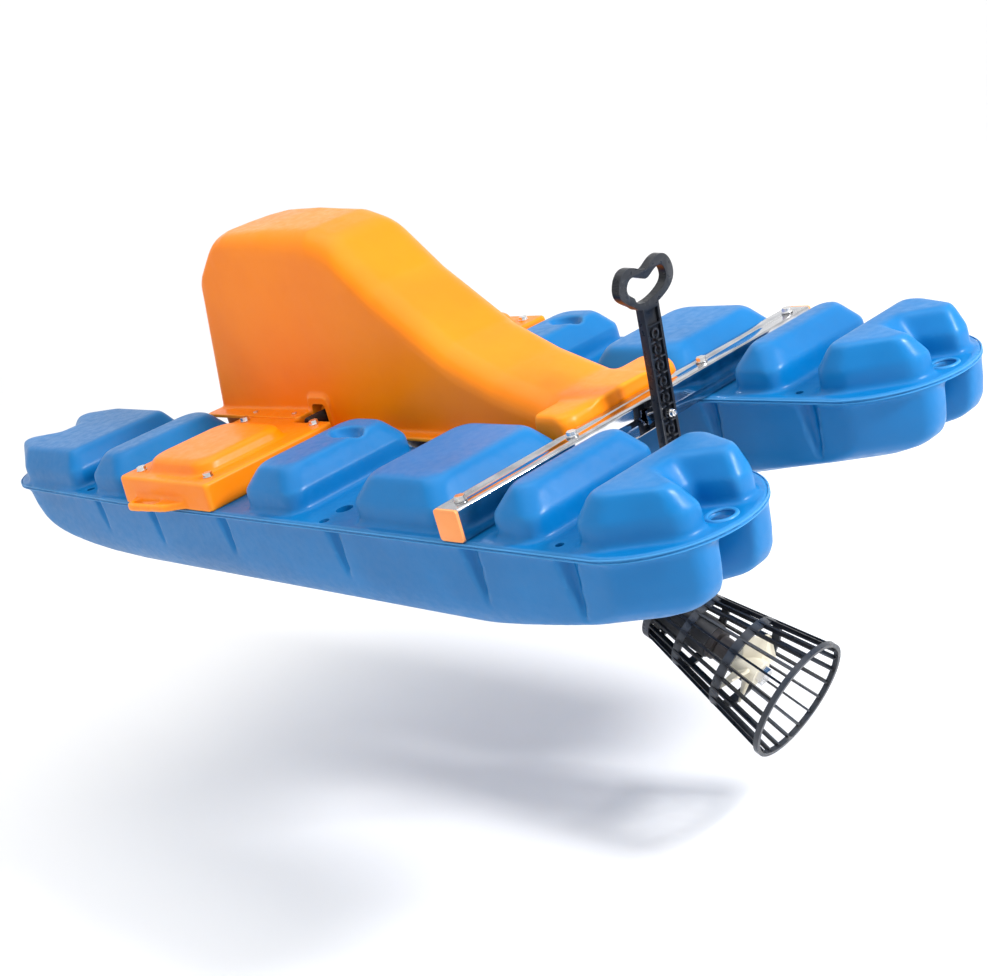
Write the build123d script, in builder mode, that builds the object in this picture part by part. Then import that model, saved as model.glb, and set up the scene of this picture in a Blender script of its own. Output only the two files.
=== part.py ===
from build123d import *
import math
import os

os.makedirs("parts", exist_ok=True)

# A twin-float propeller aerator. +X points to the bow, +Y to port and +Z up. The origin lies
# on the centreline, on the floats' flange plane, under the bolts of the rear crossbar.

# Driving dimensions, in millimetres and degrees
float_spacing = 680.0
float_y = float_spacing / 2
flange_half = 190.0
flange_thickness = 12.0
stern_x = -497.0
bow_x = 1790.0
hull_depth = 205.0
float_wall = 5.0
block_wall = 44.0
block_height = 88.0
bar_size = 60.0
bar_half_length = 522.0
crosspiece_aft = 757.0
crosspiece_fore = 1114.0
crosspiece_height = 60.0
crosspiece_half = 528.0
bay_half = 112.0
pivot_x = 862.0
pivot_z = 48.0
shaft_angle = 29.5
hood_half = 122.0
hood_top_half = 116.0
hood_top = 482.0
hood_wall = 4.0
hood_shoulder = 46.0
fore_foot_half = 172.0
aft_foot_half = 150.0
bolt_y = 146.0

# The drive's own plane: z runs down the shaft from the pivot, y is square to it and upward
tilt = math.radians(shaft_angle)
drive = Plane(origin=(pivot_x, 0, pivot_z), x_dir=(0, -1, 0), z_dir=(-math.cos(tilt), 0, -math.sin(tilt)))


def finish(builder, name):
    builder.part.label = name
    export_step(builder.part, f"parts/{name}.step")


def flange_outline(inset):
    """Plan of a float's flange: nearly parallel sides, round stern and a slightly narrower bow."""
    end = 170.0
    stern = stern_x + end
    bow = bow_x - end
    with BuildSketch() as plan:
        with BuildLine():
            Polyline((stern, flange_half - inset), (1150, flange_half - inset), (bow, end - inset))
            ThreePointArc((bow, end - inset), (bow_x - inset, 0), (bow, inset - end))
            Polyline((bow, inset - end), (1150, inset - flange_half), (stern, inset - flange_half))
            ThreePointArc((stern, inset - flange_half), (stern_x + inset, 0), (stern, flange_half - inset))
        make_face()
    return plan.sketch


def lobed_end(tip, root, half, notch, inset):
    """Plan of a heart-shaped float end, from its straight root edge to its two round lobes."""
    way = 1 if tip > root else -1
    depth = 72.0
    tip = tip - way * inset
    outline = [
        (root + way * inset, half - inset),
        (tip - way * 125, half - inset),
        (tip, 92 - inset / 2),
        (tip, notch + inset),
        (tip - way * depth, 14 + inset),
        (tip - way * depth, -14 - inset),
        (tip, -notch - inset),
        (tip, inset / 2 - 92),
        (tip - way * 125, inset - half),
        (root + way * inset, inset - half),
    ]
    with BuildSketch() as plan:
        with BuildLine():
            Polyline(*outline[::-way], close=True)
        make_face()
        fillet(plan.vertices().filter_by(lambda v: abs(v.X - tip) < 1 and abs(v.Y) < 70), 10)
        fillet(plan.vertices().filter_by(lambda v: abs(v.X - tip) < 1 and abs(v.Y) > 70), 38)
    return plan.sketch


# Stern and bow blocks are heart shaped; the four between them are rounded rectangles
stern_block = (-457.0, -268.0)
bow_block = (1748.0, 1372.0)
middle_blocks = [(-190.0, -72.0), (45.0, 310.0), (488.0, 672.0), (1146.0, 1300.0)]
block_half = 164.0
groove_xs = [-254.0, 0.0, 380.0, 800.0, 1070.0, 1300.0]


# Plan of the belly at each level: depth, stern end, bow end, half width and corner radius
belly_levels = [
    (-92.0, -452.0, 1738.0, 167.0, 92.0),
    (-150.0, -345.0, 1640.0, 156.0, 88.0),
    (-205.0, -30.0, 1278.0, 108.0, 60.0),
]


def hull_form(inset):
    """A float's outer form below its flange, or its hollow when inset by the wall."""
    waist = 98.0
    with BuildPart() as form:
        with BuildSketch(Plane.XY.offset(-inset if inset else -flange_thickness / 2)):
            add(lobed_end(stern_x + 22, 0.0, 176.0, 44.0, inset))
            add(lobed_end(bow_x - 22, 1150.0, 160.0, 40.0, inset))
            with Locations((575, 0)):
                Rectangle(1240, 2 * (176 - inset))
        extrude(amount=-waist, taper=5)
        for depth, stern, bow, half, radius in belly_levels:
            lift = inset if depth == -hull_depth else 0
            with BuildSketch(Plane.XY.offset(depth + lift)):
                with Locations(((stern + bow) / 2, 0)):
                    RectangleRounded(bow - stern - 2 * inset, 2 * (half - inset), radius - inset)
        loft(ruled=True)
        if not inset:
            for x in groove_xs:
                with BuildSketch(Plane.XY.offset(-flange_thickness)):
                    with Locations((x, 190), (x, -190)):
                        Rectangle(46, 124)
                extrude(amount=-115, taper=8, mode=Mode.SUBTRACT)
    return form.part


def groove_liner():
    """The float's wall behind each side groove, which keeps the hollow off the groove."""
    with BuildPart() as liner:
        for x in groove_xs:
            with BuildSketch(Plane.XY.offset(-float_wall)):
                with Locations((x, 190), (x, -190)):
                    Rectangle(46 + 2 * float_wall, 124 + 2 * float_wall)
            extrude(amount=-122, taper=8)
    return liner.part


def deck_blocks(inset):
    """The raised blocks of the deck, each an upright wall under a sloping top."""
    foot = -2 * float_wall if inset else 0.0
    top = block_height - inset
    with BuildPart() as blocks:
        for lift, rise, lean in ((foot, block_wall - foot, 0), (block_wall, top - block_wall, 34)):
            shrink = 2 * inset
            with BuildSketch(Plane.XY.offset(lift)):
                for aft, fore in middle_blocks:
                    with Locations(((aft + fore) / 2, 0)):
                        RectangleRounded(fore - aft - shrink, 2 * block_half - shrink, 34)
            extrude(amount=rise, taper=lean)
            for tip, root in (stern_block, bow_block):
                with BuildSketch(Plane.XY.offset(lift)):
                    add(lobed_end(tip, root, block_half - 4, 46.0, inset))
                extrude(amount=rise, taper=min(lean, 20))
    return blocks.part


def make_floats():
    outer_hull = hull_form(0)
    inner_hull = hull_form(float_wall)
    outer_blocks = deck_blocks(0)
    inner_blocks = deck_blocks(float_wall)
    with BuildPart() as hollow:
        add(inner_hull)
        add(groove_liner(), mode=Mode.SUBTRACT)
        add(inner_blocks)
    with BuildPart() as shell:
        with BuildSketch(Plane.XY.offset(-flange_thickness)):
            add(flange_outline(0))
        extrude(amount=flange_thickness)
        add(outer_hull)
        add(outer_blocks)
        add(hollow.part, mode=Mode.SUBTRACT)
        # Lifting and mooring holes through the flange in the notch of each end
        with Locations((stern_x + 50, 0, 0), (bow_x - 50, 0, 0)):
            Hole(22, depth=200)
        # Bolt holes of the rear crossbar and of the front crosspiece
        with Locations(*[(x, y, 0) for x in (0, 800, 1070) for y in (-bolt_y, bolt_y)]):
            Hole(6.5, depth=40)
        # Spare fixing holes in the flange between the blocks
        with Locations(*[(x, y, 0) for x in (-229, 1336) for y in (-154, 154)]):
            Hole(5, depth=10)
    for name, y in (("float_port", float_y), ("float_starboard", -float_y)):
        with BuildPart() as whole:
            with Locations((0, y, 0)):
                add(shell.part)
        finish(whole, name)


def hex_bolt(length):
    """A hex bolt with its washer, the underside of the washer at zero and the shank downward."""
    with BuildPart() as bolt:
        Cylinder(12, 2.5, align=(Align.CENTER, Align.CENTER, Align.MIN))
        with BuildSketch(Plane.XY.offset(2.5)):
            RegularPolygon(10.4, 6)
        extrude(amount=7.5)
        Cylinder(6, length, align=(Align.CENTER, Align.CENTER, Align.MAX))
    return bolt.part


def hex_nut():
    """A washer and a hex nut, the top of the washer at zero and the nut below it."""
    with BuildPart() as nut:
        Cylinder(12, 2.5, align=(Align.CENTER, Align.CENTER, Align.MAX))
        with BuildSketch(Plane.XY.offset(-2.5)):
            RegularPolygon(10.4, 6)
        extrude(amount=-10)
        Cylinder(6, 40, mode=Mode.SUBTRACT)
    return nut.part


def make_crossbar():
    bolts_at = [(0, y * float_y + side * bolt_y) for y in (1, -1) for side in (1, -1)]
    with BuildPart() as bar:
        with BuildSketch(Plane.XZ):
            with Locations((0, bar_size / 2)):
                RectangleRounded(bar_size, bar_size, 4)
                Rectangle(bar_size - 6, bar_size - 6, mode=Mode.SUBTRACT)
        extrude(amount=bar_half_length, both=True)
        with Locations(*[(x, y, 0) for x, y in bolts_at]):
            Hole(6.5, depth=100)
        with Locations(Plane(origin=(0, 0, bar_size / 2), z_dir=(-1, 0, 0))):
            Hole(3.6, depth=60)
    finish(bar, "rear_crossbar")

    with BuildPart() as caps:
        for side in (1, -1):
            inner = bar_size / 2 - 3
            with BuildSketch(Plane(origin=(0, side * bar_half_length, bar_size / 2), z_dir=(0, side, 0))):
                RectangleRounded(bar_size - 0.4, bar_size - 0.4, 6)
            extrude(amount=6)
            with BuildSketch(Plane(origin=(0, side * bar_half_length, bar_size / 2), z_dir=(0, side, 0))):
                Rectangle(2 * inner - 0.4, 2 * inner - 0.4)
            extrude(amount=-18)
    finish(caps, "crossbar_end_caps")

    shank = hex_bolt(bar_size + flange_thickness + 16)
    nut = hex_nut()
    with BuildPart() as bolts:
        for x, y in bolts_at:
            with Locations((x, y, bar_size)):
                add(shank)
    finish(bolts, "crossbar_bolts")
    with BuildPart() as nuts:
        for x, y in bolts_at:
            with Locations((x, y, -flange_thickness)):
                add(nut)
    finish(nuts, "crossbar_nuts")


def make_crosspiece():
    middle = (crosspiece_aft + crosspiece_fore) / 2
    length = crosspiece_fore - crosspiece_aft
    bolts_at = [(x, s * float_y + t * bolt_y) for x in (800, 1070) for s in (1, -1) for t in (1, -1)]
    wing = crosspiece_half - bay_half
    with BuildPart() as piece:
        for side in (1, -1):
            with BuildSketch(Plane.XY):
                with Locations((middle, side * (bay_half + wing / 2))):
                    Rectangle(length, wing)
            extrude(amount=crosspiece_height, taper=3)
            # Raised pillow on the top of each half
            with BuildSketch(Plane.XY.offset(crosspiece_height - 1)):
                with Locations((middle, side * 370)):
                    RectangleRounded(250, 250, 40)
            extrude(amount=30, taper=30)
            # Mooring lug: a flat tongue with a long eye
            with BuildSketch(Plane.XY):
                with BuildLine():
                    Polyline((1060, side * 520), (1030, side * 575), (900, side * 560), (830, side * 520), close=True)
                make_face()
                with Locations((985, side * 545)):
                    SlotOverall(90, 22, rotation=-3 * side, mode=Mode.SUBTRACT)
            extrude(amount=18)
        # Front web that joins the halves ahead of the drive bay
        with BuildSketch(Plane.XY.offset(-30)):
            with Locations((crosspiece_fore - 27, 0)):
                Rectangle(50, 2 * bay_half + 20)
        extrude(amount=62)
        for side in (1, -1):
            with BuildSketch(Plane.XY.offset(float_wall)):
                with Locations((middle, side * 354)):
                    Rectangle(length - 16, 332)
            extrude(amount=crosspiece_height - 2 * float_wall, taper=3, mode=Mode.SUBTRACT)
        with BuildSketch(Plane.XY.offset(float_wall)):
            with Locations(*bolts_at):
                Circle(16)
        extrude(amount=crosspiece_height - 2 * float_wall)
        with Locations(*[(x, y, 0) for x, y in bolts_at]):
            Hole(6.5, depth=200)
        # Recess in the inboard end of each half, over which the pivot's ends turn
        with BuildSketch(Plane.XY.offset(24)):
            with Locations((pivot_x, 148), (pivot_x, -148)):
                Rectangle(56, 76)
            with Locations((792, 142), (792, -142)):
                Rectangle(86, 64)
        extrude(amount=60, mode=Mode.SUBTRACT)
    finish(piece, "front_crosspiece")

    shank = hex_bolt(crosspiece_height + flange_thickness + 16)
    nut = hex_nut()
    with BuildPart() as bolts:
        with Locations(*[(x, y, crosspiece_height) for x, y in bolts_at]):
            add(shank)
    finish(bolts, "crosspiece_bolts")
    with BuildPart() as nuts:
        with Locations(*[(x, y, -flange_thickness) for x, y in bolts_at]):
            add(nut)
    finish(nuts, "crosspiece_nuts")


def hood_form(inset):
    """The hood's outer form, or its hollow when inset by the wall. Its shoulders are broken twice."""
    floor = -40.0 if inset else 15.0
    outline = [
        (1268, -160),
        (1268, 60),
        (1192, 388),
        (1085, hood_top),
        (760, 472),
        (690, 447),
        (583, 340),
        (404, 200),
        (283, 140),
        (150, 92),
        (34, 86),
        (34, -160),
    ]
    corner = hood_shoulder * (1 - math.sqrt(0.5))
    steps = [(0.0, hood_shoulder), (corner, corner), (hood_shoulder, 0.0)]
    stations = [(inset - hood_half + across, drop) for across, drop in steps]
    stations += [(-across, drop) for across, drop in stations[::-1]]
    with BuildPart() as form:
        for across, drop in stations:
            with BuildSketch(Plane.XZ.offset(-across)):
                with BuildLine():
                    Polyline(*outline, close=True)
                make_face()
                if drop + inset:
                    offset(amount=-drop - inset, kind=Kind.INTERSECTION)
        loft(ruled=True)
        with BuildSketch(Plane.YZ.offset(-50)):
            with BuildLine():
                Polyline(
                    (inset - hood_half, floor),
                    (hood_half - inset, floor),
                    (hood_top_half - inset, hood_top),
                    (inset - hood_top_half, hood_top),
                    close=True,
                )
            make_face()
        extrude(amount=1400, mode=Mode.INTERSECT)
    return form.part


def tail_form(inset):
    """The flared tail that stands between the floats' blocks, its aft face against the crossbar."""
    floor = -40.0 if inset else 15.0
    outline = [(118, 172), (46, 172), (33, 150), (33, 48), (62, 40), (33, -60), (33, -150), (46, -172), (118, -172)]
    with BuildPart() as form:
        with BuildSketch(Plane.XY.offset(floor)):
            with BuildLine():
                Polyline(*outline[::-1], close=True)
            make_face()
            if inset:
                offset(amount=-inset, kind=Kind.INTERSECTION)
        extrude(amount=86 - inset - floor)
    return form.part


def make_hood():
    with BuildPart() as hood:
        add(hood_form(0))
        add(tail_form(0))
        # Foot flange along both sides, over the crosspiece and down behind it
        with BuildSketch(Plane.XY.offset(crosspiece_height)):
            with Locations((1080, 0)):
                RectangleRounded(380, 2 * fore_foot_half, 12)
        extrude(amount=hood_wall)
        with BuildSketch(Plane.XY.offset(15)):
            with Locations((434, 0)):
                Rectangle(640, 2 * aft_foot_half)
        extrude(amount=hood_wall)
        # Arches that stand proud of the side walls round the ends of the pivot
        with BuildSketch(Plane.XZ):
            with Locations((pivot_x, 56)):
                Rectangle(72, 80)
        extrude(amount=hood_half + 4, both=True)
        add(hood_form(hood_wall), mode=Mode.SUBTRACT)
        add(tail_form(hood_wall), mode=Mode.SUBTRACT)
        with BuildSketch(Plane.XY.offset(-60)):
            with Locations((1020, 0)):
                Rectangle(530, 2 * fore_foot_half + 20)
        extrude(amount=60 + crosspiece_height, mode=Mode.SUBTRACT)
        # Slots in both sides for the ends of the pivot
        with BuildSketch(Plane.XZ):
            with Locations((pivot_x, 40)):
                Rectangle(48, 80)
        extrude(amount=200, both=True, mode=Mode.SUBTRACT)
    finish(hood, "hood")

    with BuildPart() as screws:
        for x in (930, 1085):
            for side in (1, -1):
                with Locations((x, side * 150, crosspiece_height + hood_wall)):
                    Cylinder(6, 3, align=(Align.CENTER, Align.CENTER, Align.MIN))
    finish(screws, "hood_screws")


def ring(start, end, outer, inner):
    """A ring about the shaft from one distance down the drive to another."""
    with BuildPart() as tube:
        with BuildSketch(drive.offset(start)):
            Circle(outer)
            if inner:
                Circle(inner, mode=Mode.SUBTRACT)
        extrude(amount=end - start)
    return tube.part


def spoke(turn):
    """The direction square to the shaft at a share of a full turn."""
    angle = 2 * math.pi * turn
    return drive.x_dir * math.cos(angle) + drive.y_dir * math.sin(angle)


motor_aft = -78.0
motor_fore = -296.0
shaft_radius = 12.5
leg_end = 900.0
housing_end = 1034.0
propeller_start = 1092.0
propeller_end = 1150.0
running_gap = 0.05


def make_motor():
    with BuildPart() as frame:
        add(ring(motor_fore, motor_aft, 66, 60))
        with BuildSketch(drive.offset(motor_fore + 8)):
            with PolarLocations(69, 24):
                Rectangle(9, 3)
        extrude(amount=motor_aft - motor_fore - 16)
    finish(frame, "motor_frame")

    with BuildPart() as stator:
        add(ring(motor_fore + 40, motor_aft - 40, 60, 46.5))
    finish(stator, "motor_stator")

    with BuildPart() as rear_bell:
        add(ring(motor_aft, motor_aft + 18, 74, shaft_radius + running_gap))
    finish(rear_bell, "motor_drive_end_bell")

    with BuildPart() as front_bell:
        add(ring(motor_fore - 14, motor_fore, 68, shaft_radius + running_gap))
    finish(front_bell, "motor_fan_end_bell")

    with BuildPart() as cowl:
        add(ring(motor_fore - 46, motor_fore - 14, 71, 69))
        add(ring(motor_fore - 48, motor_fore - 46, 71, 0))
        with BuildSketch(drive.offset(motor_fore - 50)):
            with PolarLocations(44, 8):
                SlotOverall(34, 7)
        extrude(amount=10, mode=Mode.SUBTRACT)
    finish(cowl, "fan_cowl")

    with BuildPart() as box:
        with BuildSketch(drive.offset(-230)):
            with Locations((0, 79.5)):
                Rectangle(84, 39)
        extrude(amount=90)
        add(ring(-240, -130, 73.6, 0), mode=Mode.SUBTRACT)
    finish(box, "terminal_box")

    with BuildPart() as lid:
        with BuildSketch(drive.offset(-232)):
            with Locations((0, 102)):
                Rectangle(88, 6)
        extrude(amount=94)
    finish(lid, "terminal_box_lid")

    with BuildPart() as gland:
        with BuildSketch(drive.offset(-140)):
            with Locations((20, 87)):
                RegularPolygon(11, 6)
                Circle(4.5, mode=Mode.SUBTRACT)
        extrude(amount=22)
    finish(gland, "cable_gland")

    with BuildPart() as rotor:
        add(ring(motor_fore + 44, motor_aft - 44, 46, 0))
        add(ring(motor_fore - 40, -2, shaft_radius, 0))
    finish(rotor, "motor_rotor")

    with BuildPart() as fan:
        add(ring(motor_fore - 40, motor_fore - 20, 20, shaft_radius))
        with BuildSketch(drive.offset(motor_fore - 40)):
            with PolarLocations(41, 8):
                Rectangle(46, 3)
        extrude(amount=18)
    finish(fan, "cooling_fan")


def make_leg():
    with BuildPart() as hub:
        add(ring(motor_aft + 18, motor_aft + 30, 74, 30))
        add(ring(motor_aft + 30, 60, 56, 48))
        add(ring(60, 72, 56, 30))
    finish(hub, "drive_hub")

    with BuildPart() as stubs:
        for side in (1, -1):
            with BuildSketch(Plane(origin=(pivot_x, side * 56, pivot_z), z_dir=(0, side, 0))):
                Circle(12)
            extrude(amount=108)
            with BuildSketch(Plane(origin=(pivot_x, side * 58, pivot_z), z_dir=(0, side, 0))):
                Circle(19)
            extrude(amount=10)
            add(ring(-30, 30, 56.0, 0), mode=Mode.SUBTRACT)
    finish(stubs, "pivot_stubs")

    with BuildPart() as sleeves:
        for side in (1, -1):
            with BuildSketch(Plane(origin=(pivot_x, side * 110, pivot_z), z_dir=(0, side, 0))):
                Circle(15)
            extrude(amount=58)
            with BuildSketch(Plane(origin=(pivot_x, side * 110, pivot_z), z_dir=(0, side, 0))):
                Circle(12)
            extrude(amount=54, mode=Mode.SUBTRACT)
        outer_rims = sleeves.edges().filter_by(lambda e: abs(e.center().Y) > 167)
        fillet(outer_rims, 4)
    finish(sleeves, "pivot_sleeves")

    with BuildPart() as blocks:
        for side in (1, -1):
            with BuildSketch(Plane(origin=(pivot_x, side * 90, pivot_z), z_dir=(0, side, 0))):
                Circle(24)
                Circle(12 + running_gap, mode=Mode.SUBTRACT)
            extrude(amount=18)
            with BuildSketch(Plane.XY):
                with Locations((pivot_x, side * 99)):
                    Rectangle(44, 18)
            extrude(amount=pivot_z - 20)
            with BuildSketch(Plane.XY):
                with Locations((pivot_x, side * 104)):
                    Rectangle(44, 16)
            extrude(amount=14)
    finish(blocks, "pivot_bearings")

    with BuildPart() as tube:
        add(ring(72, leg_end, 30, 26))
    finish(tube, "leg_tube")

    with BuildPart() as bushes:
        for start in (90, 480, 860):
            add(ring(start, start + 30, 26, shaft_radius + running_gap))
    finish(bushes, "shaft_bushes")

    with BuildPart() as coupling:
        add(ring(-36, 40, 26, shaft_radius))
    finish(coupling, "shaft_coupling")

    with BuildPart() as shaft:
        add(ring(2, propeller_end + 14, shaft_radius, 0))
    finish(shaft, "drive_shaft")

    with BuildPart() as housing:
        add(ring(leg_end, guard_start, 62, 14))
        add(ring(guard_start, leg_end + 14, 44, 14))
        add(ring(leg_end + 14, housing_end, 38, 22))
    finish(housing, "bearing_housing")

    with BuildPart() as bearings:
        for start in (leg_end + 20, housing_end - 30):
            add(ring(start, start + 18, 22, shaft_radius + running_gap))
    finish(bearings, "shaft_bearings")

    with BuildPart() as carrier:
        add(ring(housing_end, housing_end + 12, 34, 16))
    finish(carrier, "seal_carrier")

    with BuildPart() as seal:
        add(ring(housing_end + 2, housing_end + 10, 16, shaft_radius + running_gap))
    finish(seal, "shaft_seal")


def make_propeller():
    blades = 4
    with BuildPart() as propeller:
        add(ring(propeller_start, propeller_end, 27, shaft_radius))
        middle = drive.offset((propeller_start + propeller_end) / 2)
        for turn in range(blades):
            outward = spoke(turn / blades)
            for radius, chord, thick, pitch in ((20, 40, 9, 40), (52, 50, 7, 52), (80, 52, 5, 60)):
                around = drive.z_dir.rotate(Axis(middle.origin, outward), pitch)
                section = Plane(origin=middle.origin + outward * radius, x_dir=around, z_dir=outward)
                with BuildSketch(section):
                    RectangleRounded(chord, thick, thick * 0.45)
            loft(ruled=True)
        add(ring(propeller_start - 5, propeller_end + 5, shaft_radius, 0), mode=Mode.SUBTRACT)
    finish(propeller, "propeller")

    with BuildPart() as spacer:
        add(ring(housing_end + 16, propeller_start, 24, shaft_radius))
    finish(spacer, "propeller_spacer")

    with BuildPart() as nut:
        with BuildSketch(drive.offset(propeller_end)):
            RegularPolygon(19, 6)
            Circle(shaft_radius, mode=Mode.SUBTRACT)
        extrude(amount=14)
    finish(nut, "propeller_nut")


guard_start = 905.0
guard_end = 1238.0
guard_near = 67.0
guard_far = 127.0
slat_count = 22


def guard_radius(distance):
    return guard_near + (guard_far - guard_near) * (distance - guard_start) / (guard_end - guard_start)


def make_guard():
    with BuildPart() as guard:
        for turn in range(slat_count):
            outward = spoke(turn / slat_count)
            slat = Plane(origin=drive.origin, x_dir=drive.z_dir, z_dir=drive.z_dir.cross(outward))
            with BuildSketch(slat):
                with BuildLine():
                    Polyline(
                        (guard_start, guard_near - 9),
                        (guard_end, guard_far - 9),
                        (guard_end, guard_far),
                        (guard_start, guard_near),
                        close=True,
                    )
                make_face()
            extrude(amount=2.2, both=True)
        hoops = ((guard_start, 16.0, 2.0), (992, 16.0, -1.0), (1104, 18.0, -1.0))
        for start, width, proud in hoops:
            radius = guard_radius(start + width / 2) + proud
            add(ring(start, start + width, radius, radius - 7))
        add(ring(guard_end - 5, guard_end + 6, guard_far + 3, guard_far - 5))
        add(ring(guard_start, guard_start + 9, guard_near, 44.2))
    finish(guard, "propeller_guard")

    with BuildPart() as screws:
        with BuildSketch(drive.offset(guard_start + 9)):
            with PolarLocations(54, 6, start_angle=10):
                RegularPolygon(5.5, 6)
        extrude(amount=4)
    finish(screws, "guard_screws")


lever_root = 960.0
lever_lift = 98.0
lever_lean = 5.35
lever_width = 46.0
lever_thick = 18.0
lever_length = 596.0
hole_pitch = 32.0
hole_radius = 6.3
neck_half = 4.2
stud_radius = 3.5


def make_lever():
    pin = drive.from_local_coords((0, lever_lift, lever_root))
    lean = math.radians(lever_lean)
    upward = Vector(-math.sin(lean), 0, math.cos(lean))
    # The lever's plane: x across the craft, y up the lever and z from its front face aft
    face = Plane(origin=pin, x_dir=(0, -1, 0), z_dir=Vector(-math.cos(lean), 0, -math.sin(lean)))
    stud_height = (bar_size / 2 - pin.Z) / upward.Z
    holes = [stud_height + step * hole_pitch for step in range(-5, 6)]
    grip = lever_length + 32
    # The grip is a flattened loop with a shallow dip for the fingers along its top
    loop = [(-40, -36), (40, -36), (76, -4), (58, 38), (24, 36), (0, 26), (-24, 36), (-58, 38), (-76, -4)]
    hollow = [(-38, -20), (38, -20), (55, -2), (46, 20), (22, 18), (0, 9), (-22, 18), (-46, 20), (-55, -2)]
    with BuildPart() as lever:
        with BuildSketch(face.offset(-lever_thick / 2)):
            with Locations((0, lever_length / 2 - 6)):
                Rectangle(lever_width, lever_length + 12)
        extrude(amount=lever_thick)
        with BuildSketch(face.offset(-lever_thick / 2)):
            with BuildLine():
                Spline(*[(x, y + grip) for x, y in loop], periodic=True)
            make_face()
        extrude(amount=lever_thick)
        with BuildSketch(face.offset(-lever_thick / 2)):
            with BuildLine():
                Spline(*[(x, y + grip) for x, y in hollow], periodic=True)
            make_face()
        extrude(amount=lever_thick, mode=Mode.SUBTRACT)
        with BuildSketch(face.offset(-lever_thick / 2)):
            with Locations(*[(0, h) for h in holes]):
                Circle(hole_radius)
            with Locations((0, (holes[0] + holes[-1]) / 2)):
                Rectangle(2 * neck_half, holes[-1] - holes[0])
        extrude(amount=lever_thick, mode=Mode.SUBTRACT)
        # The aft face is hollowed between its edges, but for a ring round each hole and cross ribs
        with BuildSketch(face.offset(lever_thick / 2 - 6)):
            with Locations((0, lever_length / 2 + 10)):
                Rectangle(lever_width - 12, lever_length - 56)
            with Locations(*[(0, h) for h in holes]):
                Circle(hole_radius + 3.5, mode=Mode.SUBTRACT)
            with Locations(*[(0, h + hole_pitch / 2) for h in [holes[0] - hole_pitch] + holes]):
                Rectangle(lever_width, 3, mode=Mode.SUBTRACT)
        extrude(amount=10, mode=Mode.SUBTRACT)
        with BuildSketch(Plane(origin=pin, z_dir=(0, 1, 0))):
            Circle(6 + running_gap)
        extrude(amount=60, both=True, mode=Mode.SUBTRACT)
    finish(lever, "depth_lever")

    with BuildPart() as pivot_pin:
        with BuildSketch(Plane(origin=pin, z_dir=(0, 1, 0))):
            Circle(6)
        extrude(amount=38, both=True)
    finish(pivot_pin, "lever_pin")

    with BuildPart() as bracket:
        add(ring(868, 898, 40, 30))
        cheek = Plane(origin=drive.origin, x_dir=drive.z_dir, z_dir=(0, 1, 0))
        for side in (1, -1):
            with BuildSketch(cheek.offset(side * 29)):
                with BuildLine():
                    Polyline(
                        (868, 10),
                        (898, 10),
                        (898, 74),
                        (lever_root + 12, (lever_lift - 12)),
                        (lever_root + 12, (lever_lift + 14)),
                        (lever_root - 16, (lever_lift + 14)),
                        (868, 66),
                        close=True,
                    )
                make_face()
            extrude(amount=3, both=True)
        with BuildSketch(drive.offset(868)):
            with Locations((0, 42)):
                Rectangle(58, 14)
        extrude(amount=30)
        add(ring(860, 905, 30, 0), mode=Mode.SUBTRACT)
        with BuildSketch(Plane(origin=pin, z_dir=(0, 1, 0))):
            Circle(6)
        extrude(amount=60, both=True, mode=Mode.SUBTRACT)
    finish(bracket, "lever_bracket")

    aft_face = pin.X - math.tan(lean) * (bar_size / 2 - pin.Z) - lever_thick / 2
    with BuildPart() as stud:
        with BuildSketch(Plane(origin=(-bar_size / 2 + 3, 0, bar_size / 2), z_dir=(-1, 0, 0))):
            Circle(stud_radius)
        extrude(amount=-bar_size / 2 + 3 - aft_face + 18)
        with BuildSketch(Plane(origin=(aft_face - 5.5, 0, bar_size / 2), z_dir=(-1, 0, 0))):
            Circle(8)
        extrude(amount=2)
        with BuildSketch(Plane(origin=(aft_face - 7.5, 0, bar_size / 2), z_dir=(-1, 0, 0))):
            RegularPolygon(7, 6)
        extrude(amount=7)
    finish(stud, "lever_stud")

    with BuildPart() as clip:
        # A sprung steel strap between the lever and the bar
        with BuildSketch(Plane.XY.offset(bar_size / 2 - 14)):
            with BuildLine():
                ThreePointArc((-35.5, -30), (-bar_size / 2 - 0.2, 0), (-35.5, 30))
                Line((-35.5, 30), (-37.5, 30))
                ThreePointArc((-37.5, 30), (-bar_size / 2 - 2.2, 0), (-37.5, -30))
                Line((-37.5, -30), (-35.5, -30))
            make_face()
        extrude(amount=28)
        with Locations(Plane(origin=(-bar_size / 2, 0, bar_size / 2), z_dir=(-1, 0, 0))):
            Hole(4, depth=20)
    finish(clip, "lever_spring")


make_floats()
make_crossbar()
make_crosspiece()
make_hood()
make_motor()
make_leg()
make_propeller()
make_guard()
make_lever()
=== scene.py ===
import math

import bmesh
import bpy
from mathutils import Matrix, Vector
from mathutils.geometry import tessellate_polygon


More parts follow.
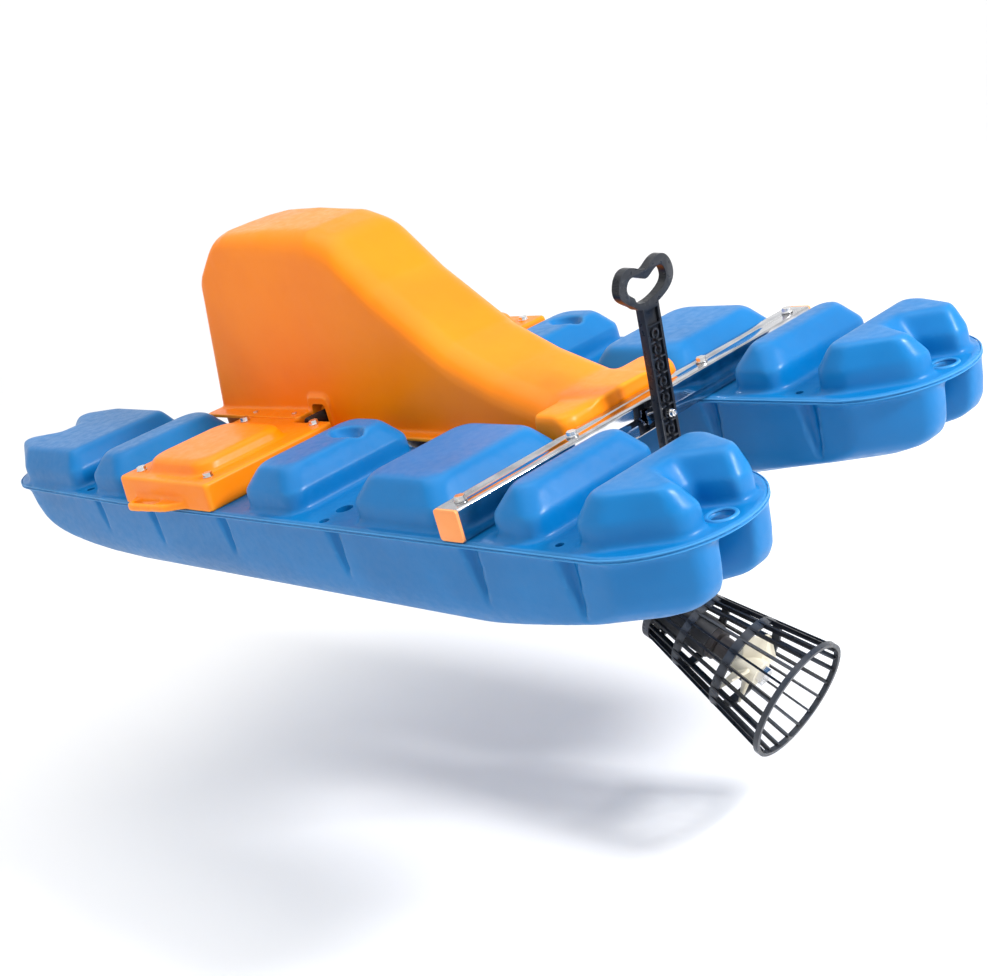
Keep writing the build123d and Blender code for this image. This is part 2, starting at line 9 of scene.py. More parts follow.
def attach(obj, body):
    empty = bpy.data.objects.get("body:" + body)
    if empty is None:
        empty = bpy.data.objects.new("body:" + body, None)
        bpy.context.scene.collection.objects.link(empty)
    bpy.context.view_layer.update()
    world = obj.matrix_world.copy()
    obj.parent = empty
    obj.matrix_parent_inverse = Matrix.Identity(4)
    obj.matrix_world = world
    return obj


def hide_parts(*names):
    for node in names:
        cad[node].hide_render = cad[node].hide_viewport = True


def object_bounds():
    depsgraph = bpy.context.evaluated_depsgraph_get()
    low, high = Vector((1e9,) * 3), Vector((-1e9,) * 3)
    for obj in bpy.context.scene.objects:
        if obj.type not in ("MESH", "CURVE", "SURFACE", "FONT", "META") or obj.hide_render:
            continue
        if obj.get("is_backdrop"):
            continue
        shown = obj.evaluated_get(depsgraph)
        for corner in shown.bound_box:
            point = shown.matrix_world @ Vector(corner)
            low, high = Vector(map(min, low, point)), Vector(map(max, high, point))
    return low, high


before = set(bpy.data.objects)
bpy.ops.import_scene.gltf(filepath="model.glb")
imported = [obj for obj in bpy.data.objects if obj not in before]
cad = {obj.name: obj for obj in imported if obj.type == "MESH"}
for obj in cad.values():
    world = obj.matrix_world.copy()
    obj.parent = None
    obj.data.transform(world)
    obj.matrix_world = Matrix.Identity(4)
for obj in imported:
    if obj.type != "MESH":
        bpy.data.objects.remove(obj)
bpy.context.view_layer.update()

# ---------------------------------------------------------------- floats
# Each float is one hollow shell of blue polyethylene, moulded by rotation: a hull under a flat
# flange, raised blocks on its deck, and a cleft at either end that leaves room for a mooring eye.
# It is seamless, so the whole form is fused and softened as one skin.
MM = 0.001
float_y = 340
deck_half = 190
eye_xs = (-447, 1740)


def rounded(corners, steps=6):
    """Points of an outline whose corners are (x, y) or (x, y, radius), in millimetres."""
    points = []
    for i, corner in enumerate(corners):
        here = Vector(corner[:2])
        radius = corner[2] if len(corner) > 2 else 0
        if not radius:
            points.append(here)
            continue
        back = (Vector(corners[i - 1][:2]) - here).normalized()
        on = (Vector(corners[(i + 1) % len(corners)][:2]) - here).normalized()
        half = back.angle(on) / 2
        centre = here + (back + on).normalized() * radius / math.sin(half)
        first = here + back * radius / math.tan(half) - centre
        last = here + on * radius / math.tan(half) - centre
        start = math.atan2(first.y, first.x)
        turn = (math.atan2(last.y, last.x) - start + math.pi) % (2 * math.pi) - math.pi
        for k in range(steps + 1):
            angle = start + turn * k / steps
            points.append(centre + Vector((math.cos(angle), math.sin(angle))) * radius)
    return points


def level(points, z):
    """A plan outline raised to a height, as points in metres."""
    return [Vector((p.x * MM, p.y * MM, z * MM)) for p in points]


def loft(bm, rings, closed=False):
    """Skins a stack of rings with equal counts, capped at both ends or joined into a hoop."""
    rows = [[bm.verts.new(p) for p in ring] for ring in rings]
    pairs = list(zip(rows, rows[1:]))
    if closed:
        pairs.append((rows[-1], rows[0]))
    for low, high in pairs:
        for i in range(len(low)):
            j = (i + 1) % len(low)
            bm.faces.new((low[i], low[j], high[j], high[i]))
    if not closed:
        bm.faces.new(rows[0][::-1])
        bm.faces.new(rows[-1])


def plate(bm, loops, low, high, place=None):
    """A flat plate with holes: its first loop is the outline and the others are the holes."""
    flat = [[Vector((p.x, p.y, 0)) for p in loop] for loop in loops]
    triangles = tessellate_polygon(flat)
    layers = []
    for z in (low, high):
        spots = [Vector((p.x * MM, p.y * MM, z * MM)) for loop in loops for p in loop]
        layers.append([bm.verts.new(place @ p if place else p) for p in spots])
    for a, b, c in triangles:
        bm.faces.new((layers[0][c], layers[0][b], layers[0][a]))
        bm.faces.new((layers[1][a], layers[1][b], layers[1][c]))
    base = 0
    for loop in loops:
        for i in range(len(loop)):
            j = base + (i + 1) % len(loop)
            i = base + i
            bm.faces.new((layers[0][i], layers[0][j], layers[1][j], layers[1][i]))
        base += len(loop)


def piece(name, bm):
    """A new object from a bmesh, with its normals made to agree."""
    bmesh.ops.recalc_face_normals(bm, faces=bm.faces)
    mesh = bpy.data.meshes.new(name)
    bm.to_mesh(mesh)
    bm.free()
    made = bpy.data.objects.new(name, mesh)
    bpy.context.scene.collection.objects.link(made)
    return made


def settle(made):
    """Applies every modifier of a piece to its mesh."""
    bpy.context.view_layer.update()
    ready = made.evaluated_get(bpy.context.evaluated_depsgraph_get())
    mesh = bpy.data.meshes.new_from_object(ready)
    made.modifiers.clear()
    made.data = mesh
    return made


def fuse(made, grain, passes):
    """Fuses overlapping solids into one skin and rounds every edge a little."""
    skin = made.modifiers.new("skin", "REMESH")
    skin.mode = "VOXEL"
    skin.voxel_size = grain * MM
    skin.use_smooth_shade = True
    soften = made.modifiers.new("soften", "SMOOTH")
    soften.factor = 0.5
    soften.iterations = passes
    return settle(made)


def shade(made, finish, crease=40):
    """Smooth shading between creases, and one finish all over."""
    made.data.shade_smooth()
    made.data.set_sharp_from_angle(angle=math.radians(crease))
    made.data.materials.clear()
    made.data.materials.append(finish)
    return made


def circle(x, y, radius, steps=32):
    turns = [2 * math.pi * k / steps for k in range(steps)]
    return [Vector((x + radius * math.cos(a), y + radius * math.sin(a))) for a in turns]


def flange_edge(inset):
    """Plan of the flange: a near half circle at the stern, straight sides and a round bow."""
    stern, bow = Vector((-305.8, 0)), Vector((1620, 0))
    points = []
    for k in range(33):
        angle = math.radians(96.4) + math.radians(167.2) * k / 32
        points.append(stern + Vector((math.cos(angle), math.sin(angle))) * (191.2 - inset))
    points.append(Vector((1150, inset - deck_half)))
    for k in range(33):
        angle = math.pi * (k / 32 - 0.5)
        points.append(bow + Vector((math.cos(angle), math.sin(angle))) * (170 - inset))
    points.append(Vector((1150, deck_half - inset)))
    return points


def lobes(tip, half, notch, inset, depth=72):
    """Half plan of a heart shaped end, from its cleft out to the flat side."""
    way = 1 if tip > 600 else -1
    return [
        (tip - way * depth, 14 + inset, 10),
        (tip, notch + inset, 14),
        (tip, 94 - inset / 2, 36),
        (tip - way * 125, half - inset, 60),
    ]


def hull_ring(z, stern, bow, half, depth):
    """Plan of the hull at one height, from the stern's two lobes to the narrower bow's."""
    port = lobes(stern, half, 44, 0, depth) + lobes(bow, half - 16, 40, 0, depth)[::-1]
    return level(rounded(port + [(x, -y, r) for x, y, r in port[::-1]], 5), z)


def block_ring(aft, fore, half, radius, inset, z):
    corners = [(aft, half), (aft, -half), (fore, -half), (fore, half)]
    middle = (aft + fore) / 2
    way = [(x + math.copysign(inset, middle - x), y - math.copysign(inset, y)) for x, y in corners]
    return level(rounded([(x, y, radius) for x, y in way]), z)


def heart_ring(tip, root, share, z):
    """Plan of an end block between its foot, at share 0, and its brow, at share 1."""
    way = 1 if tip > root else -1
    foot = [
        (root, 160, 30),
        (tip - way * 125, 160, 60),
        (tip, 94, 38),
        (tip, 46, 13),
        (tip - way * 74, 15, 10),
    ]
    brow = [
        (root + way * 36, 124, 16),
        (tip - way * 122, 127, 46),
        (tip - way * 34, 96, 20),
        (tip - way * 38, 74, 11),
        (tip - way * 118, 30, 18),
    ]
    port = [tuple(f + share * (b - f) for f, b in zip(low, high)) for low, high in zip(foot, brow)]
    return level(rounded(port + [(x, -y, r) for x, y, r in port[::-1]]), z)


# How far each deck block draws in at each height: a plumb wall, a slope and a soft brow
full_draw = 42
block_steps = ((-6, 0), (30, 0), (44, 1), (52, 7), (78, 25), (85, 32), (88, full_draw))
middle_blocks = ((-190, -72), (45, 310), (488, 672), (1146, 1300))
# The hull by height: stern tip, bow tip, half width and depth of the clefts
hull_levels = (
    (-5, -475, 1768, 176, 72),
    (-60, -470, 1762, 172, 72),
    (-92, -464, 1748, 169, 68),
    (-112, -452, 1726, 167, 60),
    (-128, -428, 1694, 164, 48),
    (-142, -384, 1654, 160, 34),
    (-158, -292, 1592, 153, 22),
    (-174, -196, 1512, 143, 14),
    (-190, -106, 1400, 128, 10),
    (-201, -46, 1318, 112, 8),
    (-205, -24, 1290, 102, 8),
)
groove_xs = (-254, -16, 380, 770, 1062, 1300)

form = bmesh.new()
eye_holes = [circle(x, 0, 22) for x in eye_xs]
plate(form, [flange_edge(0.8)] + eye_holes, -12, 0)
loft(form, [hull_ring(*row) for row in hull_levels])
for aft, fore in middle_blocks:
    loft(form, [block_ring(aft, fore, 164, 36, inset, z) for z, inset in block_steps])
for tip, root in ((-457, -268), (1748, 1372)):
    loft(form, [heart_ring(tip, root, inset / full_draw, z) for z, inset in block_steps])
float_port = fuse(piece("float_port_shell", form), 5.0, 2)


def carve(made, tools, name):
    """Cuts one set of closed tool forms out of a piece."""
    cutter = piece(name, tools)
    cut = made.modifiers.new("cut", "BOOLEAN")
    cut.operation = "DIFFERENCE"
    cut.object = cutter
    cut.solver = "EXACT"
    settle(made)
    bpy.data.objects.remove(cutter)


# Stiffening grooves run down both sides of the hull, narrowing as they go, and the block abreast
# of the pivot has a scooped hand hold in its top
groove_levels = ((-12.5, 34, 152), (-60, 28, 151), (-100, 20, 151), (-132, 12, 154), (-152, 6, 160))
tools = bmesh.new()
for x in groove_xs:
    for side in (1, -1):
        rows = []
        for z, half, root in groove_levels:
            notch = ((x - half * 1.8, 200), (x + half * 1.2, 200), (x + half * 0.3, root), (x, root))
            rows.append(level([Vector((a, side * b)) for a, b in notch], z))
        loft(tools, rows)
hold = []
for z, wide, deep in ((62, 16, 10), (70, 34, 20), (80, 44, 27), (96, 50, 31)):
    turns = [2 * math.pi * k / 40 for k in range(40)]
    hold.append(level([Vector((560 + wide * math.cos(a), -56 + deep * math.sin(a))) for a in turns], z))
loft(tools, hold)
carve(float_port, tools, "float_groove_tools")
fuse(float_port, 5.0, 5)

# Drain and fixing holes in the channels between the blocks
tools = bmesh.new()
for x, y, radius in ((396, 168, 11), (401, 112, 18), (-229, 154, 8), (1336, 150, 10), (1345, 96, 16)):
    for side in (1, -1):
        plate(tools, [circle(x, side * y, radius, 24)], -14, 14)
carve(float_port, tools, "float_hole_tools")


def link(material, source, target):
    material.node_tree.links.new(source, target)


def moulded(name, deep, main, edge_highlight, rough, grain=0.25, ripple=0.0012, edge=0.5):
    """Moulded plastic: drifting colour, a painted highlight lightening its convex edges, fine grain and slight
    sink marks.
    """
    finish = bpy.data.materials.new(name)
    finish.use_nodes = True
    nodes = finish.node_tree.nodes
    shader = nodes["Principled BSDF"]
    shader.inputs["Specular IOR Level"].default_value = 0.28
    place = nodes.new("ShaderNodeTexCoord").outputs["Object"]

    def noise(scale, detail):
        made = nodes.new("ShaderNodeTexNoise")
        made.inputs["Scale"].default_value = scale
        made.inputs["Detail"].default_value = detail
        link(finish, place, made.inputs["Vector"])
        return made.outputs["Fac"]

    drift = nodes.new("ShaderNodeValToRGB")
    drift.color_ramp.elements[0].position = 0.35
    drift.color_ramp.elements[0].color = (*deep, 1)
    drift.color_ramp.elements[1].position = 0.65
    drift.color_ramp.elements[1].color = (*main, 1)
    link(finish, noise(5, 5), drift.inputs["Fac"])
    # Painted highlight: convex edges, found by pointiness, are lightened toward the highlight colour. The edge
    # argument sets how strongly they are lightened.
    painted_highlight = nodes.new("ShaderNodeMapRange")
    painted_highlight.inputs["From Min"].default_value = 0.51
    painted_highlight.inputs["From Max"].default_value = 0.58
    painted_highlight.inputs["To Max"].default_value = edge
    link(finish, nodes.new("ShaderNodeNewGeometry").outputs["Pointiness"], painted_highlight.inputs["Value"])
    highlight_mix = nodes.new("ShaderNodeMix")
    highlight_mix.data_type = "RGBA"
    highlight_mix.inputs[7].default_value = (*edge_highlight, 1)
    link(finish, painted_highlight.outputs["Result"], highlight_mix.inputs[0])
    link(finish, drift.outputs["Color"], highlight_mix.inputs[6])
    link(finish, highlight_mix.outputs[2], shader.inputs["Base Color"])
    sheen = nodes.new("ShaderNodeMapRange")
    sheen.inputs["From Min"].default_value = 0.3
    sheen.inputs["From Max"].default_value = 0.7
    sheen.inputs["To Min"].default_value = rough - 0.06
    sheen.inputs["To Max"].default_value = rough + 0.08
    link(finish, noise(60, 3), sheen.inputs["Value"])
    link(finish, sheen.outputs["Result"], shader.inputs["Roughness"])
    sink = nodes.new("ShaderNodeBump")
    sink.inputs["Strength"].default_value = 0.6
    sink.inputs["Distance"].default_value = ripple
    link(finish, noise(16, 2), sink.inputs["Height"])
    pebble = nodes.new("ShaderNodeBump")
    pebble.inputs["Strength"].default_value = grain
    pebble.inputs["Distance"].default_value = 0.0004
    link(finish, noise(650, 2), pebble.inputs["Height"])
    link(finish, sink.outputs["Normal"], pebble.inputs["Normal"])
    link(finish, pebble.outputs["Normal"], shader.inputs["Normal"])
    return finish


# In each moulded finish the third colour is the painted highlight laid along its convex edges.
float_blue = moulded("float_blue", (0.0, 0.135, 0.38), (0.0, 0.160, 0.44), (0.08, 0.34, 0.66), 0.36)
shade(float_port, float_blue, 60)
float_port.location = (0, float_y * MM, 0)
float_starboard = bpy.data.objects.new("float_starboard_shell", float_port.data)
float_starboard.location = (0, -float_y * MM, 0)
bpy.context.scene.collection.objects.link(float_starboard)
for shell, node, side in ((float_port, "float_port", 1), (float_starboard, "float_starboard", -1)):
    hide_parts(node)
    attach(shell, "craft")
    # Two fine parting beads run round the flange where the halves of the mould met
    bead = bmesh.new()
    for z in (-3.4, -9.0):
        section = ((2.4, z - 1.5), (0.1, z - 0.8), (0.1, z + 0.8), (2.4, z + 1.5))
        loft(bead, [level(flange_edge(inset), height) for inset, height in section], closed=True)
    # A raised collar round each mooring eye
    for x in eye_xs:
        collar = ((22.5, -1), (22.5, 1.8), (24, 2.6), (27, 2.6), (29, 1.4), (30, -1))
        loft(bead, [level(circle(x, 0, radius, 48), z) for radius, z in collar], closed=True)
    trim = shade(piece(f"{node}_parting_beads", bead), float_blue, 60)
    trim.location = (0, side * float_y * MM, 0)
    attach(trim, "craft")

# ---------------------------------------------------------------- rear crossbar
# A square tube of polished stainless steel across both floats. Its ends are closed by orange
# pressed-in caps, and four long bolts with washers go down through bar and flange.


def softened(node, name, width, finish, body, crease=35, segments=2):
    """The CAD solid of a hard part with its sharp edges broken, standing for that node."""
    bm = bmesh.new()
    bm.from_mesh(cad[node].data)
    bmesh.ops.remove_doubles(bm, verts=bm.verts, dist=0.00001)
    bmesh.ops.dissolve_limit(bm, angle_limit=math.radians(1), verts=bm.verts, edges=bm.edges)
    made = piece(name, bm)
    edge = made.modifiers.new("edge", "BEVEL")
    edge.width = width * MM
    edge.segments = segments
    edge.limit_method = "ANGLE"
    edge.angle_limit = math.radians(crease)
    settle(made)
    shade(made, finish, 30)
    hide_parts(node)
    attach(made, body)
    return made


def metal(name, dark, bright, rough, stretch=(1, 1, 1), scale=400, scratch=0.25):
    """Bare metal with the faint lines of rolling or turning, and duller patches from handling."""
    finish = bpy.data.materials.new(name)
    finish.use_nodes = True
    nodes = finish.node_tree.nodes
    shader = nodes["Principled BSDF"]
    shader.inputs["Metallic"].default_value = 1.0
    place = nodes.new("ShaderNodeTexCoord").outputs["Object"]
    drawn = nodes.new("ShaderNodeMapping")
    drawn.inputs["Scale"].default_value = stretch
    link(finish, place, drawn.inputs["Vector"])
    lines = nodes.new("ShaderNodeTexNoise")
    lines.inputs["Scale"].default_value = scale
    lines.inputs["Detail"].default_value = 3
    link(finish, drawn.outputs["Vector"], lines.inputs["Vector"])
    patches = nodes.new("ShaderNodeTexNoise")
    patches.inputs["Scale"].default_value = 22
    patches.inputs["Detail"].default_value = 5
    link(finish, place, patches.inputs["Vector"])
    tone = nodes.new("ShaderNodeValToRGB")
    tone.color_ramp.elements[0].position = 0.3
    tone.color_ramp.elements[0].color = (*dark, 1)
    tone.color_ramp.elements[1].position = 0.6
    tone.color_ramp.elements[1].color = (*bright, 1)
    link(finish, patches.outputs["Fac"], tone.inputs["Fac"])
    link(finish, tone.outputs["Color"], shader.inputs["Base Color"])
    dull = nodes.new("ShaderNodeMapRange")
    dull.inputs["From Min"].default_value = 0.3
    dull.inputs["From Max"].default_value = 0.75
    dull.inputs["To Min"].default_value = rough * 0.7
    dull.inputs["To Max"].default_value = rough * 1.6
    link(finish, patches.outputs["Fac"], dull.inputs["Value"])
    link(finish, dull.outputs["Result"], shader.inputs["Roughness"])
    groove = nodes.new("ShaderNodeBump")
    groove.inputs["Strength"].default_value = scratch
    groove.inputs["Distance"].default_value = 0.0002
    link(finish, lines.outputs["Fac"], groove.inputs["Height"])
    link(finish, groove.outputs["Normal"], shader.inputs["Normal"])
    return finish


polished_steel = metal(
    "polished_steel", (0.36, 0.37, 0.40), (0.58, 0.59, 0.62), 0.07, stretch=(1, 0.02, 1), scale=300, scratch=0.05
)
cap_orange = moulded("cap_orange", (0.83, 0.22, 0.035), (0.93, 0.30, 0.06), (1.0, 0.62, 0.35), 0.45)
bright_steel = metal("bright_steel", (0.50, 0.50, 0.50), (0.82, 0.81, 0.79), 0.22, (1, 1, 1), 500, 0.2)
softened("rear_crossbar", "crossbar_tube", 1.2, polished_steel, "craft")
softened("crossbar_end_caps", "crossbar_caps", 2.0, cap_orange, "craft")
softened("crossbar_bolts", "crossbar_long_bolts", 0.7, bright_steel, "craft")
softened("crossbar_nuts", "crossbar_lock_nuts", 0.7, bright_steel, "craft")

# ---------------------------------------------------------------- front crosspiece
# Two orange moulded boxes, one on each float, joined by a web ahead of the drive. Each has a
# raised pillow on top and a mooring lug outboard, and is bolted down at its four corners.
moulded_orange = moulded("moulded_orange", (0.88, 0.215, 0.0), (0.93, 0.245, 0.0), (1.0, 0.50, 0.04), 0.34)
form = bmesh.new()
aft, fore = 757, 1114
wing_outer, wing_inner = 528, 112


def wing(side, inset, z, recess):
    """Plan of one half of the crosspiece; above the pivot's floor its inboard end is recessed."""
    outer, inner = wing_outer - inset, wing_inner + inset
    corners = [(aft + inset, outer, 10), (fore - inset, outer, 10), (fore - inset, inner, 10)]
    if recess:
        corners += [(890, inner, 3), (890, 186, 6), (834, 186, 6), (826, 174, 6), (aft + inset, 174, 6)]
    else:
        corners += [(aft + inset, inner, 10)]
    return level([Vector((p.x, side * p.y)) for p in rounded(corners)], z)


for side in (1, -1):
    loft(form, [wing(side, 0, 0, False), wing(side, 1.5, 26, False)])
    loft(form, [wing(side, 1.2, 22, True), wing(side, 3, 58, True), wing(side, 5, 60, True)])
    pillow = ((56, 0), (62, 4), (80, 11), (86, 17), (89, 27))
    loft(
        form,
        [
            level([p + Vector((0, side * 370)) for p in rounded([
                (810 + i, 125 - i, 42),
                (1060 - i, 125 - i, 42),
                (1060 - i, i - 125, 42),
                (810 + i, i - 125, 42),
            ])], z)
            for z, i in pillow
        ],
    )
    lug = rounded([(1062, 515, 3), (1032, 573, 26), (902, 559, 22), (828, 515, 3)])
    eye = rounded([(1030, 534, 10.9), (1031, 556, 10.9), (941, 553, 10.9), (940, 531, 10.9)])
    flip = [Vector((p.x, side * p.y)) for p in lug], [Vector((p.x, side * p.y)) for p in eye]
    plate(form, list(flip), 1, 18)
web = rounded([(1062, 122, 4), (1112, 122, 4), (1112, -122, 4), (1062, -122, 4)])
loft(form, [level(web, z) for z in (-30, 32)])
crosspiece = fuse(piece("crosspiece_moulding", form), 4.0, 4)
shade(crosspiece, moulded_orange, 60)
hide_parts("front_crosspiece")
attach(crosspiece, "craft")
softened("crosspiece_bolts", "crosspiece_long_bolts", 0.7, bright_steel, "craft")
softened("crosspiece_nuts", "crosspiece_lock_nuts", 0.7, bright_steel, "craft")

# ---------------------------------------------------------------- hood
# One thin orange moulding over the motor: a tall blunt nose, a long falling back and a low tail
# that rests on the crossbar. Flanged feet run down both sides, and an arch clears each pivot.
roof_line = [
    (34, 86), (150, 92, 50), (283, 140, 130), (404, 200, 60), (583, 338, 60), (690, 444, 100),
    (765, 467, 60), (930, 479, 90), (1104, 480.5, 40), (1192, 388, 60), (1268, 60),
]
nose_round = 30


def wall_half(x, z):
    """Half width of the hood's side wall: a little wider at the nose, a little narrower on top."""
    return 121 + 13 * max(0, x - 860) / 400 - 4 * (z - 15) / 467


def hood_section(x, top):
    """One section across the hood: plumb sides, a round shoulder and a slightly crowned roof."""
    bend = min(34 + 26 * min(1, max(0, (1050 - x) / 350)), (top - 12) * 0.8)
    heights = [12 + (top - bend - 12) * k / 9 for k in range(9)]
    heights += [top - bend * (1 - math.sin(math.radians(a))) for a in range(0, 91, 10)]
    side = []
    for z in heights:
        above = max(0, z - (top - bend)) / bend
        half = wall_half(x, z) - bend * (1 - math.sqrt(max(0, 1 - above * above)))
        front = 1268 - (max(0, min(z, 388) - 60) * 76 / 328) - max(0, z - 388) * 1.15
        near = max(0, min(1, (x - (front - nose_round)) / nose_round))
        side.append((half - nose_round * (1 - math.sqrt(1 - near * near)), z))
    line = [(y, z) for y, z in side] + [(0, top + 1.2)] + [(-y, z) for y, z in side[::-1]]
    return [Vector((x * MM, y * MM, z * MM)) for y, z in line]


form = bmesh.new()
roof = rounded([(34, -200)] + roof_line + [(1268, -200)], 8)[1:-1]
stations = []
for a, b in zip(roof, roof[1:]):
    count = max(1, round((b - a).length / 24))
    stations += [a + (b - a) * k / count for k in range(count)]
loft(form, [hood_section(p.x, p.y) for p in stations if p.y > 20])
foot_fore = rounded([(890, 172, 12), (1270, 172, 12), (1270, -172, 12), (890, -172, 12)])
loft(form, [level(foot_fore, z) for z in (54, 64)])
foot_aft = rounded([(110, 150, 4), (757, 150, 4), (757, -150, 4), (110, -150, 4)])
loft(form, [level(foot_aft, z) for z in (9, 19)])
# The tail flares between the floats' blocks, its aft face notched where the lever stands
tail = ((12, 0, 0), (50, 2, 1), (70, 3, 4), (80, 6, 10), (85, 11, 20), (86.5, 20, 34))
tail_rows = []
for z, inset, back in tail:
    edge = [
        (124, 172 - inset, 8), (44 + back, 172 - inset, 22), (32 + back, 146 - inset, 20),
        (31 + back * 0.6, 50, 7), (60 + back * 0.3, 40, 7), (34 + back, -58, 26),
        (32 + back, inset - 150, 20), (44 + back, inset - 172, 22), (124, inset - 172, 8),
    ]
    tail_rows.append(level(rounded(edge), z))
loft(form, tail_rows)
for side in (1, -1):
    # The arch over each end of the pivot stands proud of the side wall
    arch = [(824, 4), (824, 98, 16), (900, 98, 16), (900, 4)]
    loft(form, [[Vector((p.x * MM, side * y * MM, p.y * MM)) for p in rounded(arch)] for y in (100, 128)])
hood = fuse(piece("hood_moulding", form), 4.0, 4)
tools = bmesh.new()
slot_line = [(838, -20), (838, 80, 10), (886, 80, 10), (886, -20)]
for side in (1, -1):
    slot = rounded(slot_line)
    loft(tools, [[Vector((p.x * MM, side * y * MM, p.y * MM)) for p in slot] for y in (70, 190)])
carve(hood, tools, "hood_slot_tools")
# The moulding is open below: its floor is taken off and the skin is given its thickness inward
form = bmesh.new()
form.from_mesh(hood.data)
spare = []
for face in form.faces:
    middle = face.calc_center_median()
    under = face.normal.z < -0.55 and middle.z < 0.07
    within = abs(middle.y) < 0.085 and face.normal.z < -0.2 and middle.z < 0.07
    if under or within:
        spare.append(face)
bmesh.ops.delete(form, geom=spare, context="FACES")
form.to_mesh(hood.data)
form.free()
skin = hood.modifiers.new("skin", "SOLIDIFY")
skin.thickness = 0.0035
skin.offset = -1
settle(hood)
shade(hood, moulded_orange, 60)
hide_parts("hood")
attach(hood, "craft")
softened("hood_screws", "hood_foot_screws", 0.5, bright_steel, "craft")

# ---------------------------------------------------------------- pivot
# The drive hangs on two steel stubs in orange bearing blocks under the arches. Black rubber
# sleeves close over the ends of the stubs.
rubber_black = moulded("rubber_black", (0.012, 0.011, 0.012), (0.022, 0.020, 0.021), (0.07, 0.06, 0.06), 0.48)
softened("pivot_sleeves", "pivot_rubber_sleeves", 1.5, rubber_black, "drive_leg", 50, 3)
softened("pivot_bearings", "pivot_bearing_blocks", 1.5, moulded_orange, "craft", 50)


def carried(finish, *names):
    """A finish for CAD solids whose shape is already right."""
    for name in names:
        cad[name].data.materials.clear()
        cad[name].data.materials.append(finish)


carried(bright_steel, "pivot_stubs")

# ---------------------------------------------------------------- motor
# A finned cast-iron motor, painted blue grey, with a pressed fan cowl and a terminal box. It
# hides under the hood, flanged to the hub that carries the stubs.
motor_paint = moulded("motor_paint", (0.030, 0.060, 0.085), (0.045, 0.085, 0.115), (0.18, 0.22, 0.25), 0.35)
motor_iron = metal("motor_iron", (0.16, 0.15, 0.15), (0.34, 0.33, 0.32), 0.45, (1, 1, 1), 120, 0.4)
carried(motor_paint, "motor_frame", "motor_drive_end_bell", "motor_fan_end_bell", "fan_cowl")
carried(motor_paint, "terminal_box", "terminal_box_lid", "drive_hub")
carried(motor_iron, "motor_stator", "motor_rotor")

# ---------------------------------------------------------------- leg and shaft
# A long black tube runs down and aft from the hub. The steel shaft turns inside it on bronze
# bushes, and a sealed bearing housing closes its lower end.
black_matt = moulded("black_matt", (0.010, 0.011, 0.014), (0.020, 0.021, 0.026), (0.09, 0.09, 0.10), 0.50)
bronze = metal("bronze", (0.35, 0.19, 0.07), (0.60, 0.36, 0.15), 0.35)
softened("leg_tube", "leg_outer_tube", 1.0, black_matt, "drive_leg")
softened("bearing_housing", "lower_bearing_housing", 2.0, black_matt, "drive_leg")
carried(bright_steel, "drive_shaft", "shaft_coupling", "shaft_bearings", "lever_pin", "propeller_nut")
carried(bronze, "shaft_bushes")
carried(rubber_black, "shaft_seal", "cable_gland", "cooling_fan", "seal_carrier", "propeller_spacer")

# ---------------------------------------------------------------- propeller
# A four-bladed screw cast in cream plastic, keyed on the end of the shaft.
ivory_plastic = moulded("ivory_plastic", (0.66, 0.60, 0.46), (0.78, 0.73, 0.60), (0.88, 0.85, 0.76), 0.38)
softened("propeller", "propeller_screw", 1.5, ivory_plastic, "shaft", 50)

# ---------------------------------------------------------------- guard
# A flared cage of black plastic slats and hoops, moulded in one, screwed to the housing flange.
black_plastic = moulded(
    "black_plastic", (0.004, 0.005, 0.008), (0.010, 0.012, 0.017), (0.09, 0.10, 0.12), 0.30
)
softened("propeller_guard", "propeller_cage", 0.8, black_plastic, "drive_leg", 50, 1)
softened("guard_screws", "cage_screws", 0.4, bright_steel, "drive_leg")

# ---------------------------------------------------------------- depth lever
# A black moulded lever with a looped grip. Its row of holes drops over a stud on the crossbar,
# which holds the leg at the chosen depth; a sprung strap keeps it off the bar.
softened("depth_lever", "depth_lever_moulding", 1.6, black_plastic, "lever", 50)
softened("lever_bracket", "lever_cheek_bracket", 1.0, black_matt, "drive_leg")
softened("lever_stud", "lever_stud_screw", 0.5, bright_steel, "craft")
softened("lever_spring", "lever_sprung_strap", 0.3, polished_steel, "craft")

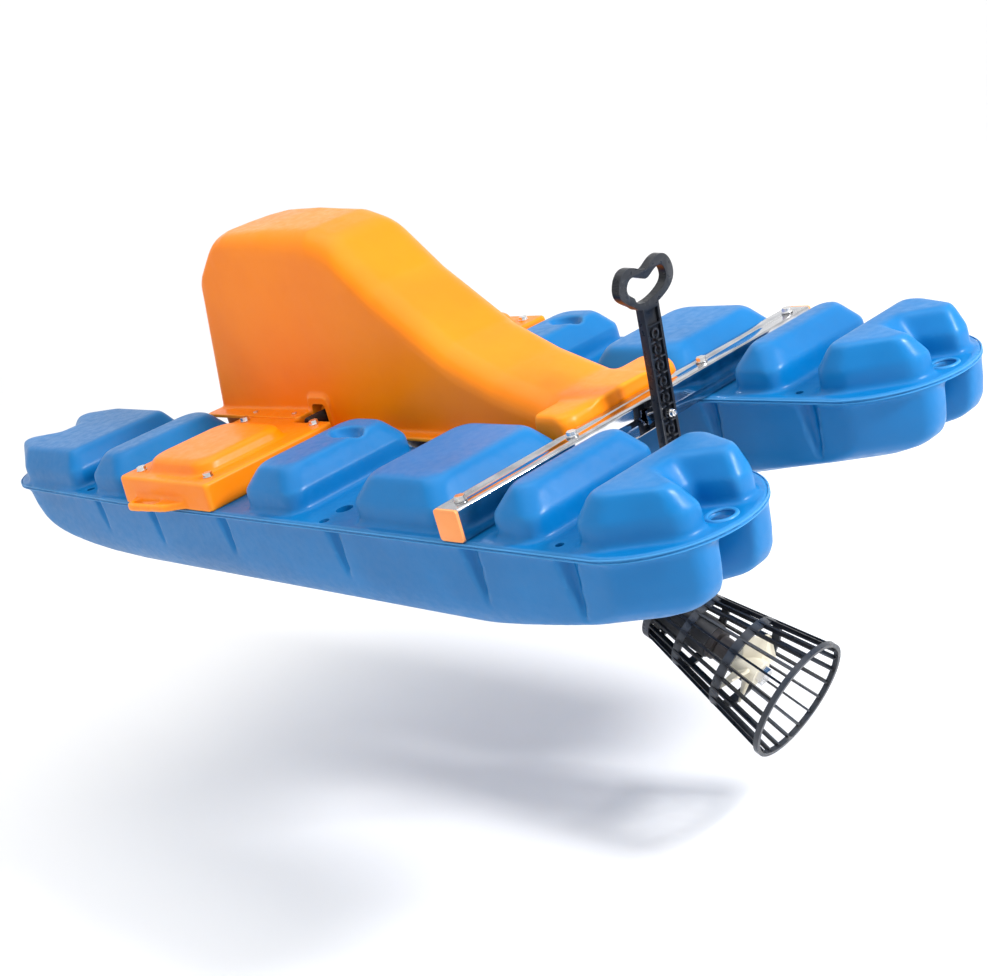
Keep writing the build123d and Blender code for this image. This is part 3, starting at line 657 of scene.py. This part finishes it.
# ---------------------------------------------------------------- studio
# A wide pale bowl of a floor under broad soft lights, and a camera off the port quarter.
bowl = bmesh.new()
rings = [(0.01, 0), (7.0, 0)]
rings += [(7 + 3 * math.sin(math.radians(a)), 3 - 3 * math.cos(math.radians(a))) for a in range(10, 91, 10)]
rings += [(10.0, 8.0)]
floor_z = -0.84
rows = []
for radius, lift in rings:
    turns = [2 * math.pi * k / 96 for k in range(96)]
    spots = [(0.6 + radius * math.cos(a), radius * math.sin(a), floor_z + lift) for a in turns]
    rows.append([bowl.verts.new(spot) for spot in spots])
for low, high in zip(rows, rows[1:]):
    for i in range(96):
        j = (i + 1) % 96
        bowl.faces.new((low[i], low[j], high[j], high[i]))
bowl.faces.new(rows[0])
floor = piece("studio_floor", bowl)
paper = bpy.data.materials.new("studio_paper")
paper.use_nodes = True
paper_shader = paper.node_tree.nodes["Principled BSDF"]
paper_shader.inputs["Base Color"].default_value = (0.96, 0.96, 0.96, 1)
paper_shader.inputs["Roughness"].default_value = 0.9
floor.data.shade_smooth()
floor.data.materials.append(paper)
floor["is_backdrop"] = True

world = bpy.data.worlds.new("studio")
world.use_nodes = True
world.node_tree.nodes["Background"].inputs["Color"].default_value = (1.0, 1.0, 1.0, 1)
world.node_tree.nodes["Background"].inputs["Strength"].default_value = 0.82
bpy.context.scene.world = world
bpy.context.scene.view_settings.view_transform = "Standard"


def soft_light(name, spot, aim, size, power):
    lamp = bpy.data.lights.new(name, "AREA")
    lamp.shape = "DISK"
    lamp.size = size
    lamp.energy = power
    holder = bpy.data.objects.new(name, lamp)
    holder.location = spot
    holder.rotation_mode = "QUATERNION"
    holder.rotation_quaternion = (Vector(aim) - Vector(spot)).to_track_quat("-Z", "Y")
    bpy.context.scene.collection.objects.link(holder)


soft_light("key", (-3.6, -1.2, 2.7), (0.5, 0, 0.2), 1.0, 240)
soft_light("overhead", (0.8, 0.0, 6.0), (0.6, 0, 0), 7.0, 170)

camera = bpy.data.cameras.new("camera")
camera.lens = 58.19
camera.sensor_width = 36
viewer = bpy.data.objects.new("camera", camera)
forward = Vector((0.73538, -0.60284, -0.30950))
across = Vector((-0.67530, -0.68994, -0.26066))
upward = across.cross(forward)
turned = Matrix((across, upward, -forward)).transposed().to_4x4()
viewer.matrix_world = Matrix.Translation((-2.0641, 2.0988, 0.9175)) @ turned
bpy.context.scene.collection.objects.link(viewer)
bpy.context.scene.camera = viewer

low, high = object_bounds()
